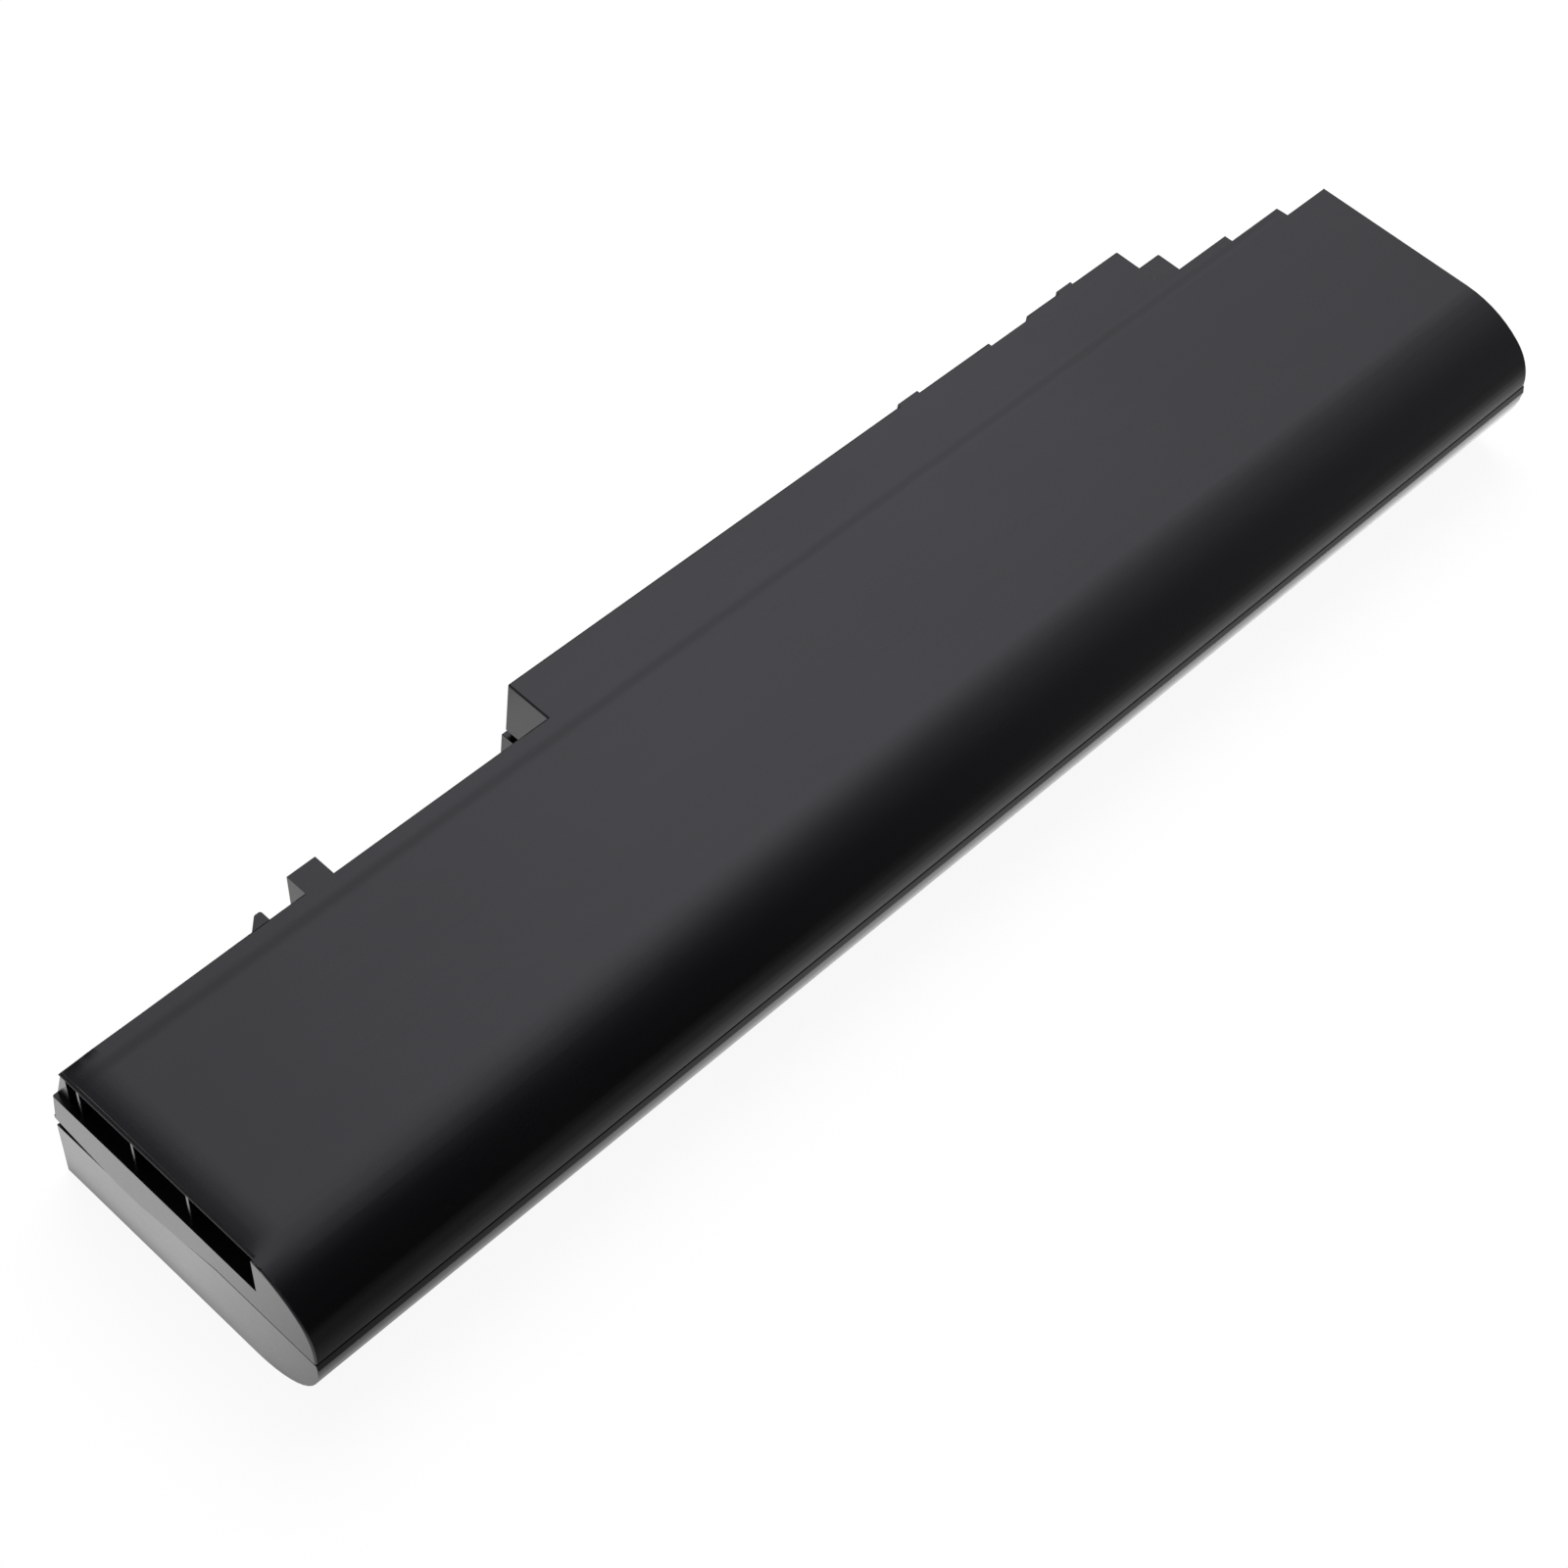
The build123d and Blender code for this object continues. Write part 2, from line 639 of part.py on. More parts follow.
# Leads from the end links to the board, in the lower back corner. The left one has a
# thermal fuse in it
fuse_start = stack_left + FUSE_OFFSET
lead_runs = {
    "left_lead": (
        ((stack_left, None), (fuse_start, None)),
        ((fuse_start + FUSE_LENGTH, None), (board_left + GUIDE_WIDTH, 1)),
    ),
    "right_lead": (((stack_right, None), (board_right - GUIDE_WIDTH, -1)),),
}
for name, runs in lead_runs.items():
    with BuildPart() as lead:
        for (begin, _), (end, way) in runs:
            with BuildLine() as route:
                if way is None:
                    Line((begin, lead_axis, lead_level), (end, lead_axis, lead_level))
                else:
                    Line((begin, lead_axis, lead_level), (end, lead_axis, lead_level))
                    RadiusArc(
                        (end, lead_axis, lead_level),
                        (end + way * LEAD_TURN, board_back, lead_level),
                        -way * LEAD_TURN,
                    )
            with BuildSketch(Plane(route.line @ 0, z_dir=route.line % 0)):
                Circle(LEAD_DIAMETER / 2)
            sweep(path=route.line)
    lead.part.label = name
    export_step(lead.part, f"parts/{name}.step")

with BuildPart() as thermal_fuse:
    with BuildSketch(Plane.YZ.offset(fuse_start)):
        with Locations((lead_axis, lead_level)):
            Circle(FUSE_DIAMETER / 2)
    extrude(amount=FUSE_LENGTH)
thermal_fuse.part.label = "thermal_fuse"
export_step(thermal_fuse.part, "parts/thermal_fuse.step")

# Foam pads between the stack and the ends of the shells
pad_room = {
    "left_pad": (left + WALL + END_DRAFT, stack_left - LINK_THICKNESS),
    "right_pad": (stack_right + LINK_THICKNESS, right - WALL - END_DRAFT),
}
for name, (begin, end) in pad_room.items():
    with BuildPart() as pad:
        with BuildSketch(Plane.YZ.offset(begin)):
            with Locations((row_middle, axis_level - PAD_HEIGHT / 6)):
                RectangleRounded(PAD_WIDTH, PAD_HEIGHT, PAD_HEIGHT / 5)
        extrude(amount=end - begin)
    pad.part.label = name
    export_step(pad.part, f"parts/{name}.step")

# Insulating paper between the cells and the board, slotted for the inner link
with BuildPart() as insulating_paper:
    block(
        (first_joint + PAPER_SLOT, board_right),
        (paper_front, paper_front + PAPER_THICKNESS),
        (lead_level + FUSE_DIAMETER / 2 + LEAD_GAP, board_top - SENSOR_DIAMETER - PAPER_MARGIN),
    )
    for joint in link_starts[2:-1]:
        block(
            (joint - PAPER_SLOT / 2, joint + PAPER_SLOT / 2),
            (board_back - WALL, board_back + WALL),
            (axis_level - LEG_WIDTH, axis_level + LEG_WIDTH),
            mode=Mode.SUBTRACT,
        )
insulating_paper.part.label = "insulating_paper"
export_step(insulating_paper.part, "parts/insulating_paper.step")

# Circuit board, standing on the floor of the lower shell
with BuildPart() as circuit_board:
    block((board_left, board_right), (board_back, board_front), (WALL, board_top))
circuit_board.part.label = "circuit_board"
export_step(circuit_board.part, "parts/circuit_board.step")


def on_board(size, places, level=PART_LEVEL):
    """Boxes of one size on the front of the board, with their middles at these places along it."""
    for middle in places:
        block(
            (middle - size[0] / 2, middle + size[0] / 2),
            (board_front, board_front + size[1]),
            (level - size[2] / 2, level + size[2] / 2),
        )


chip_middle = ledge_left + CHIP_OFFSET
with BuildPart() as controller_chip:
    on_board(CHIP_SIZE, [chip_middle])
controller_chip.part.label = "controller_chip"
export_step(controller_chip.part, "parts/controller_chip.step")

with BuildPart() as chip_leads:
    for side in (-1, 1):
        level = PART_LEVEL + side * (CHIP_SIZE[2] + CHIP_LEAD_SIZE[2]) / 2
        places = [chip_middle + CHIP_LEAD_PITCH * (i - (CHIP_LEADS - 1) / 2) for i in range(CHIP_LEADS)]
        on_board(CHIP_LEAD_SIZE, places, level)
chip_leads.part.label = "chip_leads"
export_step(chip_leads.part, "parts/chip_leads.step")

with BuildPart() as power_switches:
    on_board(SWITCH_SIZE, [ledge_right - offset_x for offset_x in SWITCH_OFFSETS])
power_switches.part.label = "power_switches"
export_step(power_switches.part, "parts/power_switches.step")

with BuildPart() as current_shunt:
    on_board(SHUNT_SIZE, [ledge_right - SHUNT_OFFSET])
current_shunt.part.label = "current_shunt"
export_step(current_shunt.part, "parts/current_shunt.step")

with BuildPart() as overcharge_cutout:
    on_board(CUTOUT_SIZE, [ledge_left + CUTOUT_OFFSET])
overcharge_cutout.part.label = "overcharge_cutout"
export_step(overcharge_cutout.part, "parts/overcharge_cutout.step")

with BuildPart() as chip_capacitors:
    places = [ledge_left + CAPACITOR_OFFSET + CAPACITOR_PITCH * i for i in range(CAPACITOR_COLUMNS)]
    for i in range(CAPACITOR_ROWS):
        level = PART_LEVEL + CAPACITOR_PITCH * (i - (CAPACITOR_ROWS - 1) / 2)
        on_board(CAPACITOR_SIZE, places, level)
chip_capacitors.part.label = "chip_capacitors"
export_step(chip_capacitors.part, "parts/chip_capacitors.step")

# Temperature sensor, from the board to the sleeve of a back cell
sensor_level = board_top - SENSOR_DIAMETER / 2
sensor_rise = sensor_level - SENSOR_DIAMETER / 2 - axis_level
sensor_tip = back_axis + math.sqrt(cell_radius**2 - sensor_rise**2) + SENSOR_GAP
with BuildPart() as temperature_sensor:
    with BuildSketch(Plane.XZ.offset(-board_back)):
        with Locations((ledge_left + SENSOR_OFFSET, sensor_level)):
            Circle(SENSOR_DIAMETER / 2)
    extrude(amount=board_back - sensor_tip)
temperature_sensor.part.label = "temperature_sensor"
export_step(temperature_sensor.part, "parts/temperature_sensor.step")

# Connector housing, on the board and on the rim of the lower shell
slot_back = board_front + SLOT_BACK
with BuildPart() as connector_housing:
    block(
        (connector_left, connector_left + connector_length),
        (board_front, connector_face),
        (PARTING, PARTING + CONNECTOR_HEIGHT),
    )
    chamfer(connector_housing.faces().sort_by(Axis.Y)[-1].edges(), length=CONNECTOR_EDGE)
    for pin in pin_places:
        block(
            (pin - SLOT_WIDTH / 2, pin + SLOT_WIDTH / 2),
            (slot_back, connector_face + WALL),
            (slot_level - SLOT_HEIGHT / 2, slot_level + SLOT_HEIGHT / 2),
            mode=Mode.SUBTRACT,
        )
        block(
            (pin - TAIL_SIZE / 2, pin + TAIL_SIZE / 2),
            (board_front - WALL, slot_back + WALL),
            (slot_level - TAIL_SIZE / 2, slot_level + TAIL_SIZE / 2),
            mode=Mode.SUBTRACT,
        )
connector_housing.part.label = "connector_housing"
export_step(connector_housing.part, "parts/connector_housing.step")

# Contacts: two sprung leaves in each slot, joined at the back, with a tail to the board
leaf_front = connector_face - LEAF_SETBACK
with BuildPart() as connector_contacts:
    for pin in pin_places:
        block(
            (pin - SLOT_WIDTH / 2, pin + SLOT_WIDTH / 2),
            (slot_back, leaf_front),
            (slot_level - LEAF_HEIGHT / 2, slot_level + LEAF_HEIGHT / 2),
        )
        block(
            (pin - SLOT_WIDTH / 2 + LEAF_THICKNESS, pin + SLOT_WIDTH / 2 - LEAF_THICKNESS),
            (slot_back + LEAF_THICKNESS, leaf_front + WALL),
            (slot_level - SLOT_HEIGHT / 2, slot_level + SLOT_HEIGHT / 2),
            mode=Mode.SUBTRACT,
        )
        block(
            (pin - TAIL_SIZE / 2, pin + TAIL_SIZE / 2),
            (board_front, slot_back),
            (slot_level - TAIL_SIZE / 2, slot_level + TAIL_SIZE / 2),
        )
connector_contacts.part.label = "connector_contacts"
export_step(connector_contacts.part, "parts/connector_contacts.step")
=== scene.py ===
"""Laptop battery: the finish of every piece, the studio round it and the camera.

Laid out as an add-on and run as a script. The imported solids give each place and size. The two
shells are welded copies: the roof and the nose are eased into smooth curves, and the edges are
rounded. The other pieces keep their solids. Lengths are metres, and MM turns millimetres into
them.
"""

import math

import bmesh
import bpy
import numpy as np
from bpy.props import FloatProperty, FloatVectorProperty, PointerProperty
from mathutils import Matrix, Vector


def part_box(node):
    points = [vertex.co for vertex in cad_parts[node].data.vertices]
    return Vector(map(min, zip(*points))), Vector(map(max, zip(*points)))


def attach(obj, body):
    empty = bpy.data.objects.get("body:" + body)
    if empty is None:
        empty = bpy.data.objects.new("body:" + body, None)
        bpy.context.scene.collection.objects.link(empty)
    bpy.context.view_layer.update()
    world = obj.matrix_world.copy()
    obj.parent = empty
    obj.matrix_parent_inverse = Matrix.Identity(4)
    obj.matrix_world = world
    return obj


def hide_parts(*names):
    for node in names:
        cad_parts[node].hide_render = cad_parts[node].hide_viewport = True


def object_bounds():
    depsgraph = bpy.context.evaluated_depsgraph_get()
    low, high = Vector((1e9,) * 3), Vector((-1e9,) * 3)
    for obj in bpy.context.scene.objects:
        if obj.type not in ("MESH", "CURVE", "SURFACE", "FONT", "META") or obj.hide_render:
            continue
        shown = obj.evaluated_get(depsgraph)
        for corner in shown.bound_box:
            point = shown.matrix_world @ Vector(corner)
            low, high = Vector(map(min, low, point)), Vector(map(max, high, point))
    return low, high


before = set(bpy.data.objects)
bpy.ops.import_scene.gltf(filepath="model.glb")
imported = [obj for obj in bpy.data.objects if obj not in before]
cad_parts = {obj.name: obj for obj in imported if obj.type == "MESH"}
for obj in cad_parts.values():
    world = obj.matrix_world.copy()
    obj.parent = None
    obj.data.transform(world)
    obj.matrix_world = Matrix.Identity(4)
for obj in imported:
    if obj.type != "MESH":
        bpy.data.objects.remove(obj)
CAD_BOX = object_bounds()

bl_info = {
    "name": "Laptop battery looks",
    "version": (1, 0, 0),
    "blender": (4, 5, 0),
    "location": "View3D > Sidebar > Battery",
    "description": "Dresses the packed laptop battery and sets up its studio",
    "category": "Object",
}

MM = 0.001
BODY = "root"

# Nodes by the finish that they share
CELLS = [
    f"cell_{row}_{place}" for row in ("front", "back") for place in ("left", "middle", "right")
]
LINKS = ["link_left", "link_inner_left", "link_inner_right", "link_right"]
CHIPS = ["controller_chip", "power_switches", "current_shunt"]

# Limits for work on the meshes of the shells
WELD = 0.002 * MM  # corners nearer than this become one
HAIR = 0.001 * MM  # slack of a cut
NEAR = 0.01 * MM  # a corner this near to a curve lies on it
FLAT_TURN = math.radians(0.6)  # faces that turn by less become one flat
SHARP_TURN = math.radians(34)  # edges that turn by more are rounded
ROOF_DEPTH = 0.6 * MM  # the roof, its band and their rounding lie within this depth
CHAMFER_DEPTH = 0.5 * MM  # the chamfer under the seam lies within this depth
SAG_FADE = 4 * MM  # width over which the sag dies away before the roll
CROWN_CUTS, NOSE_CUTS, CREASE_CUTS, SAG_CUTS = 25, 18, 15, 13

# Most values of a noise pattern lie in this span
NOISE_SPAN = {"From Min": 0.3, "From Max": 0.7}

# Painted glow of the paper, seen only in reflections, where white is 1: painted light and painted
# shade that stand in for lamps and the bar's shade on the paper
PAINTED_SHADE_GLOW = (0.06, 0.5)  # painted shade before the rolled edge, from the left end to MIDDLE
PAINTED_FOOT_GLOW = (0.6, 2.1)  # painted light at the foot of the rolled edge, from end to end
PAINTED_END_GLOW = (0.8, 1.58)  # painted light beside the channel end, from front to back
PAINTED_BACK_GLOW = 0.12  # painted shade well behind the bar
PAINTED_OUTER_SHADE = 0.2  # share of the painted shade before the rolled edge that is left far in front
MIDDLE = -20 * MM


def linear(code):
    """Scene-linear colour of an sRGB hex code: a straight foot near black, then a 2.4 power."""
    shares = [int(code[i : i + 2], 16) / 255 for i in (1, 3, 5)]
    light = [s / 12.92 if s <= 0.04045 else ((s + 0.055) / 1.055) ** 2.4 for s in shares]
    return (*light, 1.0)


def colour_property(name, description, code):
    """A colour that a user may change, with its default as an sRGB hex code."""
    return FloatVectorProperty(
        name=name,
        description=description,
        subtype="COLOR",
        size=4,
        min=0,
        max=1,
        default=linear(code),
    )


def length_property(name, description, millimetres):
    """A length that a user may change, with its default in millimetres."""
    return FloatProperty(
        name=name, description=description, default=millimetres * MM, unit="LENGTH", precision=5
    )


def share_property(name, description, default):
    """A plain number from nought upwards that a user may change."""
    return FloatProperty(name=name, description=description, default=default, min=0)


class ShellLook(bpy.types.PropertyGroup):
    """Edges and plastic of the two shells."""

    edge: length_property("Edge", "Width of the rounding on the moulded edges", 0.06)
    roll_width: length_property("Roll width", "Width of the rolled edge", 11.9)
    roll_height: length_property("Roll height", "Height of the rolled edge", 8.9)
    roll_nose: length_property("Roll nose", "Radius of the lower arc of the rolled edge", 7.3)
    crease: length_property("Crease", "Place of the middle of the crease along Y", 13.8)
    crease_run: length_property("Crease run", "Width of the crease on the solid", 1.0)
    crease_soft: length_property("Soft crease", "Width that the crease is eased over", 2.3)
    band_drop: length_property("Band drop", "Depth of the band behind the crease", 0.15)
    sag: length_property("Sag", "Depth that the roof sinks by at the channel", 0.45)
    sag_reach: length_property("Sag reach", "Width of the strip that sinks", 5)
    ease: length_property("Ease", "Height that the lower shell's nose leans in over", 0.9)
    grain: length_property("Grain", "Width of one pit of the spark-eroded grain", 0.4)
    flow: length_property("Flow", "Width of the faint patches that the melt leaves", 34)
    rub: length_property("Rub", "Width of the faint rub marks from handling", 1.6)
    colour: colour_property("Plastic", "Colour of the moulded plastic", "#020203")
    patch: colour_property("Patch", "Colour of the paler patches in the plastic", "#050506")
    roughness: share_property("Roughness", "Mean roughness of the satin", 0.27)


class ConnectorLook(bpy.types.PropertyGroup):
    """Plastic and leaves of the connector."""

    plastic: colour_property("Plastic", "Colour of the connector's plastic", "#121214")
    fibre: length_property("Fibre", "Width of the glass fibres at the surface", 0.25)
    plating: colour_property("Plating", "Colour of the gold flash", "#d9b15c")
    lines: length_property("Lines", "Width of the rolling lines under the flash", 0.15)


class InnerLook(bpy.types.PropertyGroup):
    """Colours of what the shells hold."""

    steel: colour_property("Steel", "Nickel-plated cans", "#cfcfcd")
    sleeve: colour_property("Sleeve", "Shrink film round the cells", "#3f8f9c")
    fibre: colour_property("Fibre", "Pressed rings and board paper", "#c5cbb9")
    nickel: colour_property("Nickel", "Rolled strip of the links", "#c9c6bf")
    black_lead: colour_property("Black lead", "Insulation of the left lead", "#181818")
    red_lead: colour_property("Red lead", "Insulation of the right lead", "#b01c1c")
    coating: colour_property("Coating", "Dipped coating of the fuses", "#e0dccf")
    foam: colour_property("Foam", "End pads", "#434343")
    mask: colour_property("Solder mask", "Lacquer on the board", "#1c6b3c")
    track: colour_property("Track", "Lacquer over the copper tracks", "#2f8a52")
    epoxy: colour_property("Epoxy", "Moulded chip bodies", "#2e2e30")
    tin: colour_property("Tin", "Plated chip leads", "#d4d4d4")
    ceramic: colour_property("Ceramic", "Bodies of the capacitors", "#c2ab8b")
    bead: colour_property("Bead", "Dipped bead of the sensor", "#3d3d40")


class StageLook(bpy.types.PropertyGroup):
    """Camera, lamp, softbox, tent and paper."""

    place: FloatVectorProperty(
        name="Camera",
        description="Place of the camera",
        unit="LENGTH",
        default=(-0.21712, -0.15420, 0.33013),
    )
    heading: FloatProperty(
        name="Heading",
        description="Way the camera faces, from +Y towards +X",
        subtype="ANGLE",
        default=math.radians(53.32),
    )
    dip: FloatProperty(
        name="Dip",
        description="Angle that the camera looks down by",
        subtype="ANGLE",
        default=math.radians(51.65),
    )
    roll: FloatProperty(
        name="Roll",
        description="Turn of the camera about its line of sight",
        subtype="ANGLE",
        default=math.radians(8.86),
    )
    lens: FloatProperty(
        name="Lens", description="Focal length for a 36 mm sensor, in mm", default=81.96
    )
    ambient: share_property("Ambient", "Light from all round on matt surfaces", 0.35)
    key: share_property("Key", "Power of the overhead lamp, in watts", 9.0)
    softbox: share_property("Softbox", "Brightness of the overhead softbox in reflections", 1.1)
    spill: share_property("Spill", "Brightness of the softbox's spill towards the front", 0.27)
    cast: colour_property("Cast", "Colour of the softbox and tent in reflections", "#f7f5ff")
    tent: share_property("Tent", "Brightness of the tent's walls in reflections", 0.27)
    paper: share_property("Paper", "Glow of the paper sweep", 0.92)


def add_node(tree, kind, inputs=None, **settings):
    """Add a shader node. Settings are its properties; inputs give sockets a value or a feed."""
    made = tree.nodes.new(kind)
    for name, value in settings.items():
        setattr(made, name, value)
    for key, value in (inputs or {}).items():
        if isinstance(value, bpy.types.NodeSocket):
            tree.links.new(value, made.inputs[key])
        else:
            made.inputs[key].default_value = value
    return made


def new_material(name):
    """An empty node material and its tree."""
    made = bpy.data.materials.new(name)
    made.use_nodes = True
    made.node_tree.nodes.clear()
    return made, made.node_tree


def shaded(colour, share):
    """A colour with its light scaled by a share."""
    return (*[c * share for c in colour[:3]], 1.0)


def moulded_satin(look):
    """ABS and polycarbonate moulded against a spark-eroded tool.

    The eye gets near black under an even satin sheen. The sheen has faint patches where the melt
    flowed and fainter rub marks along the bar, and close up the grain of the tool shows. The real
    grain is near 0.1 mm; it is drawn about four times as coarse so that it shows.
    """
    made, tree = new_material("moulded_abs_spark_eroded_satin")
    rub_stretch, rub_share, swing = (0.08, 1, 1), 0.35, 0.02
    where = add_node(tree, "ShaderNodeTexCoord").outputs["Object"]
    flow = add_node(
        tree, "ShaderNodeTexNoise", {"Vector": where, "Scale": 1 / look.flow, "Detail": 2.0}
    ).outputs[0]
    tint = add_node(
        tree, "ShaderNodeMix", {0: flow, 6: look.colour, 7: look.patch}, data_type="RGBA"
    ).outputs[2]
    along = add_node(tree, "ShaderNodeMapping", {"Vector": where, "Scale": rub_stretch}).outputs[0]
    rub = add_node(
        tree, "ShaderNodeTexNoise", {"Vector": along, "Scale": 1 / look.rub, "Detail": 3.0}
    ).outputs[0]
    uneven = add_node(
        tree, "ShaderNodeMath", {0: rub, 1: rub_share, 2: flow}, operation="MULTIPLY_ADD"
    ).outputs[0]
    gloss = add_node(
        tree,
        "ShaderNodeMapRange",
        {
            "Value": uneven,
            "From Min": 0.45,
            "From Max": 0.9,
            "To Min": look.roughness - swing,
            "To Max": look.roughness + swing,
        },
    ).outputs[0]
    grain = add_node(
        tree, "ShaderNodeTexNoise", {"Vector": where, "Scale": 1 / look.grain, "Detail": 1.0}
    ).outputs[0]
    relief = add_node(
        tree, "ShaderNodeBump", {"Height": grain, "Strength": 0.05, "Distance": 0.03 * MM}
    ).outputs[0]
    surface = add_node(
        tree,
        "ShaderNodeBsdfPrincipled",
        {"Base Color": tint, "Roughness": gloss, "IOR": 1.6, "Normal": relief},
    )
    add_node(tree, "ShaderNodeOutputMaterial", {"Surface": surface.outputs[0]})
    return made


def moulded_nylon(look):
    """Glass-filled polyamide moulded in a polished tool.

    The eye gets a matt black, with short paler streaks where the fibres lie at the surface.
    """
    made, tree = new_material("moulded_glass_filled_nylon")
    where = add_node(tree, "ShaderNodeTexCoord").outputs["Object"]
    along = add_node(tree, "ShaderNodeMapping", {"Vector": where, "Scale": (0.2, 1, 1)}).outputs[0]
    fibres = add_node(
        tree, "ShaderNodeTexNoise", {"Vector": along, "Scale": 1 / look.fibre, "Detail": 2.0}
    ).outputs[0]
    tint = add_node(
        tree,
        "ShaderNodeMix",
        {0: fibres, 6: look.plastic, 7: shaded(look.plastic, 1.8)},
        data_type="RGBA",
    ).outputs[2]
    gloss = add_node(
        tree,
        "ShaderNodeMapRange",
        {"Value": fibres, **NOISE_SPAN, "To Min": 0.38, "To Max": 0.5},
    ).outputs[0]
    relief = add_node(
        tree, "ShaderNodeBump", {"Height": fibres, "Strength": 0.15, "Distance": 0.02 * MM}
    ).outputs[0]
    surface = add_node(
        tree,
        "ShaderNodeBsdfPrincipled",
        {"Base Color": tint, "Roughness": gloss, "IOR": 1.53, "Normal": relief},
    )
    add_node(tree, "ShaderNodeOutputMaterial", {"Surface": surface.outputs[0]})
    return made


def drawn_metal(name, colour, gloss_range, width, stretch):
    """Plated or rolled metal.

    The eye gets a mirror that fine lines break, long the way that the metal was drawn. The lines
    are noise of the given width, stretched along one axis.
    """
    made, tree = new_material(name)
    where = add_node(tree, "ShaderNodeTexCoord").outputs["Object"]
    along = add_node(tree, "ShaderNodeMapping", {"Vector": where, "Scale": stretch}).outputs[0]
    lines = add_node(
        tree, "ShaderNodeTexNoise", {"Vector": along, "Scale": 1 / width, "Detail": 3.0}
    ).outputs[0]
    tint = add_node(
        tree, "ShaderNodeMix", {0: lines, 6: colour, 7: shaded(colour, 0.8)}, data_type="RGBA"
    ).outputs[2]
    low, high = gloss_range
    gloss = add_node(
        tree,
        "ShaderNodeMapRange",
        {"Value": lines, **NOISE_SPAN, "To Min": low, "To Max": high},
    ).outputs[0]
    relief = add_node(
        tree, "ShaderNodeBump", {"Height": lines, "Strength": 0.08, "Distance": 0.01 * MM}
    ).outputs[0]
    surface = add_node(
        tree,
        "ShaderNodeBsdfPrincipled",
        {"Base Color": tint, "Metallic": 1.0, "Roughness": gloss, "Normal": relief},
    )
    add_node(tree, "ShaderNodeOutputMaterial", {"Surface": surface.outputs[0]})
    return made


def coloured_coat(name, colour, gloss_range, width, index, depth):
    """A film, dip, foam, pressed board or resin.

    The eye gets one colour that is slightly mottled, with lumps of the given width that also turn
    the gloss and stand up by the given depth.
    """
    made, tree = new_material(name)
    where = add_node(tree, "ShaderNodeTexCoord").outputs["Object"]
    lumps = add_node(
        tree, "ShaderNodeTexNoise", {"Vector": where, "Scale": 1 / width, "Detail": 3.0}
    ).outputs[0]
    tint = add_node(
        tree, "ShaderNodeMix", {0: lumps, 6: colour, 7: shaded(colour, 0.75)}, data_type="RGBA"
    ).outputs[2]
    low, high = gloss_range
    gloss = add_node(
        tree,
        "ShaderNodeMapRange",
        {"Value": lumps, **NOISE_SPAN, "To Min": low, "To Max": high},
    ).outputs[0]
    relief = add_node(
        tree, "ShaderNodeBump", {"Height": lumps, "Strength": 0.3, "Distance": depth}
    ).outputs[0]
    surface = add_node(
        tree,
        "ShaderNodeBsdfPrincipled",
        {"Base Color": tint, "Roughness": gloss, "IOR": index, "Normal": relief},
    )
    add_node(tree, "ShaderNodeOutputMaterial", {"Surface": surface.outputs[0]})
    return made


def masked_laminate(look):
    """Glass-epoxy laminate under green lacquer, screened over etched copper.

    The eye gets a glossy green with paler level lines where the lacquer lies on the tracks. The
    board stands on edge, so the pattern is turned to lie in its plane.
    """
    made, tree = new_material("solder_masked_laminate")
    where = add_node(tree, "ShaderNodeTexCoord").outputs["Object"]
    upright = add_node(
        tree, "ShaderNodeMapping", {"Vector": where, "Rotation": (math.radians(-90), 0, 0)}
    ).outputs[0]
    tracks = add_node(
        tree,
        "ShaderNodeTexBrick",
        {
            "Vector": upright,
            "Color1": look.mask,
            "Color2": shaded(look.mask, 0.85),
            "Mortar": look.track,
            "Scale": 1.0,
            "Mortar Size": 0.25 * MM,
            "Brick Width": 14 * MM,
            "Row Height": 1.4 * MM,
        },
    )
    gloss = add_node(
        tree, "ShaderNodeMapRange", {"Value": tracks.outputs["Fac"], "To Min": 0.3, "To Max": 0.24}
    ).outputs[0]
    relief = add_node(
        tree,
        "ShaderNodeBump",
        {"Height": tracks.outputs["Fac"], "Strength": 0.4, "Distance": 0.03 * MM},
    ).outputs[0]
    surface = add_node(
        tree,
        "ShaderNodeBsdfPrincipled",
        {"Base Color": tracks.outputs["Color"], "Roughness": gloss, "IOR": 1.52, "Normal": relief},
    )
    add_node(tree, "ShaderNodeOutputMaterial", {"Surface": surface.outputs[0]})
    return made


def paint(nodes, material):
    """Give CAD nodes a material in every slot that they have."""
    for name in nodes:
        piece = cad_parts[name]
        if not piece.material_slots:
            piece.data.materials.append(material)
        for slot in piece.material_slots:
            slot.material = material


def add_piece(name, mesh, material, slot, *nodes):
    """Put a new piece on the body, in its finish, in place of the nodes that it stands for."""
    piece = bpy.data.objects.new(name, mesh)
    bpy.context.scene.collection.objects.link(piece)
    mesh.materials.clear()
    mesh.materials.append(material)
    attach(piece, BODY)
    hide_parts(*nodes)
    return piece


def welded_copy(node):
    """A copy of a solid with its loose triangles welded, and its flat faces made whole."""
    work = bmesh.new()
    work.from_mesh(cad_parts[node].data)
    bmesh.ops.remove_doubles(work, verts=work.verts, dist=WELD)
    bmesh.ops.dissolve_limit(work, angle_limit=FLAT_TURN, verts=work.verts, edges=work.edges)
    for face in work.faces:
        face.smooth = True
    return work


def straight(share):
    """A share held between 0 and 1."""
    return min(max(share, 0), 1)


def eased(share):
    """A share from 0 to 1 with level ends: three of its squares less two of its cubes."""
    share = straight(share)
    return share * share * (3 - 2 * share)


